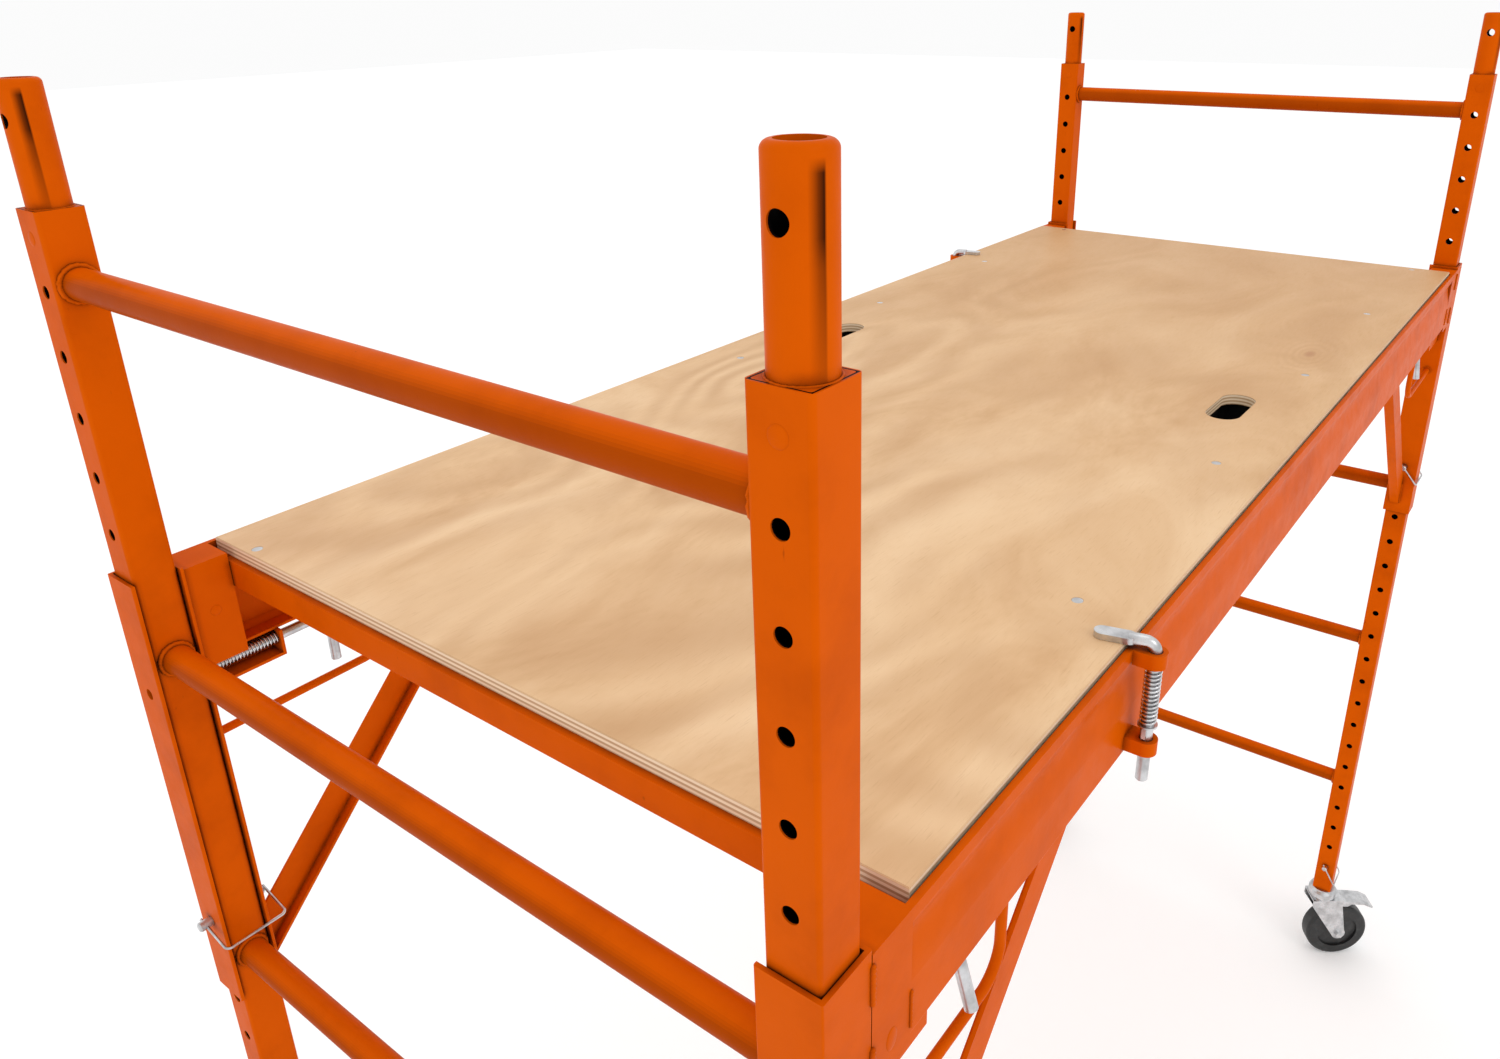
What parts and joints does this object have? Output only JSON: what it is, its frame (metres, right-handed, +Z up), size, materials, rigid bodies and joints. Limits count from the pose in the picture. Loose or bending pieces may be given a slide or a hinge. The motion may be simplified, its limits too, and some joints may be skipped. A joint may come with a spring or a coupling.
{
  "type": "baker scaffold",
  "caption": "Rolling baker scaffold: two ladder end frames on braked swivel casters, carrying a plywood deck on pinned side brackets with corner braces.",
  "frame": {"origin": "on the floor under the middle of the scaffold, the bottom centre of its bounding box", "axes": "+X along the deck from the near end frame to the far one, +Y across to the left side, +Z up"},
  "size_m": [1.9658, 0.8894, 1.9167],
  "materials": {
    "orange_paint": "gloss powder coat over welded steel tube",
    "plywood": "bare sanded plywood with light satin sealer",
    "zinc": "zinc plated steel",
    "spring_steel": "bright plated spring wire",
    "black_plastic": "moulded black plastic, lightly grained",
    "wheel_rubber": "black moulded rubber"
  },
  "bodies": {
    "scaffold_frame": {"post_near_right": "orange_paint", "post_near_left": "orange_paint", "post_far_right": "orange_paint", "post_far_left": "orange_paint", "stacking_stubs": "orange_paint", "near_rungs": "orange_paint", "far_rungs": "orange_paint", "right_rail": "orange_paint", "left_rail": "orange_paint", "bracket_sleeves": "orange_paint", "bracket_end_boxes": "orange_paint", "bracket_diagonals": "orange_paint", "guard_rods": "orange_paint", "pin_brackets": "orange_paint", "latch_brackets": "orange_paint", "deck_ledges": "orange_paint", "deck_side_members": "orange_paint", "deck_cross_members": "orange_paint", "deck_end_plates": "orange_paint", "plywood_deck": "plywood", "hand_hole_cups": "black_plastic", "deck_screws": "zinc", "snap_pins": "zinc", "caster_pins": "zinc", "caster_stems": "zinc", "caster_cups": "zinc"},
    "locking_pin_near_right": {"locking_pin_near_right": "zinc", "locking_pin_spring_near_right": "spring_steel"},
    "locking_pin_near_left": {"locking_pin_near_left": "zinc", "locking_pin_spring_near_left": "spring_steel"},
    "locking_pin_far_right": {"locking_pin_far_right": "zinc", "locking_pin_spring_far_right": "spring_steel"},
    "locking_pin_far_left": {"locking_pin_far_left": "zinc", "locking_pin_spring_far_left": "spring_steel"},
    "snap_pin_bail_near_right": {"snap_pin_bail_near_right": "zinc"},
    "caster_pin_bail_near_right": {"caster_pin_bail_near_right": "zinc"},
    "snap_pin_bail_near_left": {"snap_pin_bail_near_left": "zinc"},
    "caster_pin_bail_near_left": {"caster_pin_bail_near_left": "zinc"},
    "snap_pin_bail_far_right": {"snap_pin_bail_far_right": "zinc"},
    "caster_pin_bail_far_right": {"caster_pin_bail_far_right": "zinc"},
    "snap_pin_bail_far_left": {"snap_pin_bail_far_left": "zinc"},
    "caster_pin_bail_far_left": {"caster_pin_bail_far_left": "zinc"},
    "deck_latch_washer_right": {"deck_latch_washer_right": "zinc", "deck_latch_spring_right": "spring_steel"},
    "deck_latch_rod_right": {"deck_latch_rod_right": "zinc"},
    "deck_latch_washer_left": {"deck_latch_washer_left": "zinc", "deck_latch_spring_left": "spring_steel"},
    "deck_latch_rod_left": {"deck_latch_rod_left": "zinc"},
    "caster_fork_near_right": {"caster_fork_near_right": "zinc"},
    "caster_wheel_near_right": {"caster_wheel_near_right": "wheel_rubber"},
    "brake_pedal_near_right": {"brake_pedal_near_right": "zinc"},
    "caster_fork_near_left": {"caster_fork_near_left": "zinc"},
    "caster_wheel_near_left": {"caster_wheel_near_left": "wheel_rubber"},
    "brake_pedal_near_left": {"brake_pedal_near_left": "zinc"},
    "caster_fork_far_right": {"caster_fork_far_right": "zinc"},
    "caster_wheel_far_right": {"caster_wheel_far_right": "wheel_rubber"},
    "brake_pedal_far_right": {"brake_pedal_far_right": "zinc"},
    "caster_fork_far_left": {"caster_fork_far_left": "zinc"},
    "caster_wheel_far_left": {"caster_wheel_far_left": "wheel_rubber"},
    "brake_pedal_far_left": {"brake_pedal_far_left": "zinc"}
  },
  "joints": [
    {"name": "locking_pin_near_right_pull", "type": "slide", "parent": "scaffold_frame", "child": "locking_pin_near_right", "axis": [1, 0, 0], "range_m": [0, 0.026], "stiffness_N_per_m": 600, "springref_m": -0.02, "deforming": ["locking_pin_spring_near_right"]},
    {"name": "locking_pin_near_left_pull", "type": "slide", "parent": "scaffold_frame", "child": "locking_pin_near_left", "axis": [1, 0, 0], "range_m": [0, 0.026], "stiffness_N_per_m": 600, "springref_m": -0.02, "deforming": ["locking_pin_spring_near_left"]},
    {"name": "locking_pin_far_right_pull", "type": "slide", "parent": "scaffold_frame", "child": "locking_pin_far_right", "axis": [-1, 0, 0], "range_m": [0, 0.026], "stiffness_N_per_m": 600, "springref_m": -0.02, "deforming": ["locking_pin_spring_far_right"]},
    {"name": "locking_pin_far_left_pull", "type": "slide", "parent": "scaffold_frame", "child": "locking_pin_far_left", "axis": [-1, 0, 0], "range_m": [0, 0.026], "stiffness_N_per_m": 600, "springref_m": -0.02, "deforming": ["locking_pin_spring_far_left"]},
    {"name": "snap_pin_bail_near_right_swing", "type": "hinge", "parent": "scaffold_frame", "child": "snap_pin_bail_near_right", "pos_m": [-0.9321, -0.3492, 1.1535], "axis": [0, -0.6428, -0.766], "range_deg": [0, 28]},
    {"name": "caster_pin_bail_near_right_swing", "type": "hinge", "parent": "scaffold_frame", "child": "caster_pin_bail_near_right", "pos_m": [-0.9282, -0.3492, 0.2391], "axis": [0, -0.5299, -0.848], "range_deg": [0, 28]},
    {"name": "snap_pin_bail_near_left_swing", "type": "hinge", "parent": "scaffold_frame", "child": "snap_pin_bail_near_left", "pos_m": [-0.9321, 0.3492, 1.1535], "axis": [0, -0.9659, -0.2588], "range_deg": [0, 28]},
    {"name": "caster_pin_bail_near_left_swing", "type": "hinge", "parent": "scaffold_frame", "child": "caster_pin_bail_near_left", "pos_m": [-0.9282, 0.3492, 0.2391], "axis": [0, -0.5299, -0.848], "range_deg": [0, 28]},
    {"name": "snap_pin_bail_far_right_swing", "type": "hinge", "parent": "scaffold_frame", "child": "snap_pin_bail_far_right", "pos_m": [0.8773, -0.3492, 1.1535], "axis": [0, -0.6428, -0.766], "range_deg": [0, 28]},
    {"name": "caster_pin_bail_far_right_swing", "type": "hinge", "parent": "scaffold_frame", "child": "caster_pin_bail_far_right", "pos_m": [0.8812, -0.3492, 0.2391], "axis": [0, -0.5299, -0.848], "range_deg": [0, 28]},
    {"name": "snap_pin_bail_far_left_swing", "type": "hinge", "parent": "scaffold_frame", "child": "snap_pin_bail_far_left", "pos_m": [0.8773, 0.3492, 1.1535], "axis": [0, -0.9659, -0.2588], "range_deg": [0, 28]},
    {"name": "caster_pin_bail_far_left_swing", "type": "hinge", "parent": "scaffold_frame", "child": "caster_pin_bail_far_left", "pos_m": [0.8812, 0.3492, 0.2391], "axis": [0, -0.5299, -0.848], "range_deg": [0, 28]},
    {"name": "deck_latch_right_lift", "type": "slide", "parent": "scaffold_frame", "child": "deck_latch_washer_right", "axis": [0, 0, 1], "range_m": [0, 0.018], "stiffness_N_per_m": 500, "springref_m": -0.016, "deforming": ["deck_latch_spring_right"]},
    {"name": "deck_latch_right_turn", "type": "hinge", "parent": "deck_latch_washer_right", "child": "deck_latch_rod_right", "pos_m": [-0.53, -0.3843, 1.45], "axis": [0, 0, 1], "range_deg": [-110, 110]},
    {"name": "deck_latch_left_lift", "type": "slide", "parent": "scaffold_frame", "child": "deck_latch_washer_left", "axis": [0, 0, 1], "range_m": [0, 0.018], "stiffness_N_per_m": 500, "springref_m": -0.016, "deforming": ["deck_latch_spring_left"]},
    {"name": "deck_latch_left_turn", "type": "hinge", "parent": "deck_latch_washer_left", "child": "deck_latch_rod_left", "pos_m": [0.53, 0.3843, 1.45], "axis": [0, 0, 1], "range_deg": [-110, 110]},
    {"name": "caster_near_right_swivel", "type": "hinge", "parent": "scaffold_frame", "child": "caster_fork_near_right", "pos_m": [-0.9047, -0.3492, 0.153], "axis": [0, 0, 1], "continuous": true},
    {"name": "caster_near_right_roll", "type": "hinge", "parent": "caster_fork_near_right", "child": "caster_wheel_near_right", "pos_m": [-0.92877, -0.31726, 0.0635], "axis": [0.7986, 0.6018, 0], "continuous": true},
    {"name": "caster_near_right_brake", "type": "hinge", "parent": "caster_fork_near_right", "child": "brake_pedal_near_right", "pos_m": [-0.92095, -0.32764, 0.142], "axis": [-0.7986, -0.6018, 0], "range_deg": [0, 11]},
    {"name": "caster_near_left_swivel", "type": "hinge", "parent": "scaffold_frame", "child": "caster_fork_near_left", "pos_m": [-0.9047, 0.3492, 0.153], "axis": [0, 0, 1], "continuous": true},
    {"name": "caster_near_left_roll", "type": "hinge", "parent": "caster_fork_near_left", "child": "caster_wheel_near_left", "pos_m": [-0.92877, 0.38115, 0.0635], "axis": [0.7986, 0.6018, 0], "continuous": true},
    {"name": "caster_near_left_brake", "type": "hinge", "parent": "caster_fork_near_left", "child": "brake_pedal_near_left", "pos_m": [-0.92095, 0.37076, 0.142], "axis": [-0.7986, -0.6018, 0], "range_deg": [0, 11]},
    {"name": "caster_far_right_swivel", "type": "hinge", "parent": "scaffold_frame", "child": "caster_fork_far_right", "pos_m": [0.9047, -0.3492, 0.153], "axis": [0, 0, 1], "continuous": true},
    {"name": "caster_far_right_roll", "type": "hinge", "parent": "caster_fork_far_right", "child": "caster_wheel_far_right", "pos_m": [0.92877, -0.38115, 0.0635], "axis": [-0.7986, -0.6018, 0], "continuous": true},
    {"name": "caster_far_right_brake", "type": "hinge", "parent": "caster_fork_far_right", "child": "brake_pedal_far_right", "pos_m": [0.92095, -0.37076, 0.142], "axis": [0.7986, 0.6018, 0], "range_deg": [0, 11]},
    {"name": "caster_far_left_swivel", "type": "hinge", "parent": "scaffold_frame", "child": "caster_fork_far_left", "pos_m": [0.9047, 0.3492, 0.153], "axis": [0, 0, 1], "continuous": true},
    {"name": "caster_far_left_roll", "type": "hinge", "parent": "caster_fork_far_left", "child": "caster_wheel_far_left", "pos_m": [0.92877, 0.31726, 0.0635], "axis": [-0.7986, -0.6018, 0], "continuous": true},
    {"name": "caster_far_left_brake", "type": "hinge", "parent": "caster_fork_far_left", "child": "brake_pedal_far_left", "pos_m": [0.92095, 0.32764, 0.142], "axis": [0.7986, 0.6018, 0], "range_deg": [0, 11]}
  ]
}
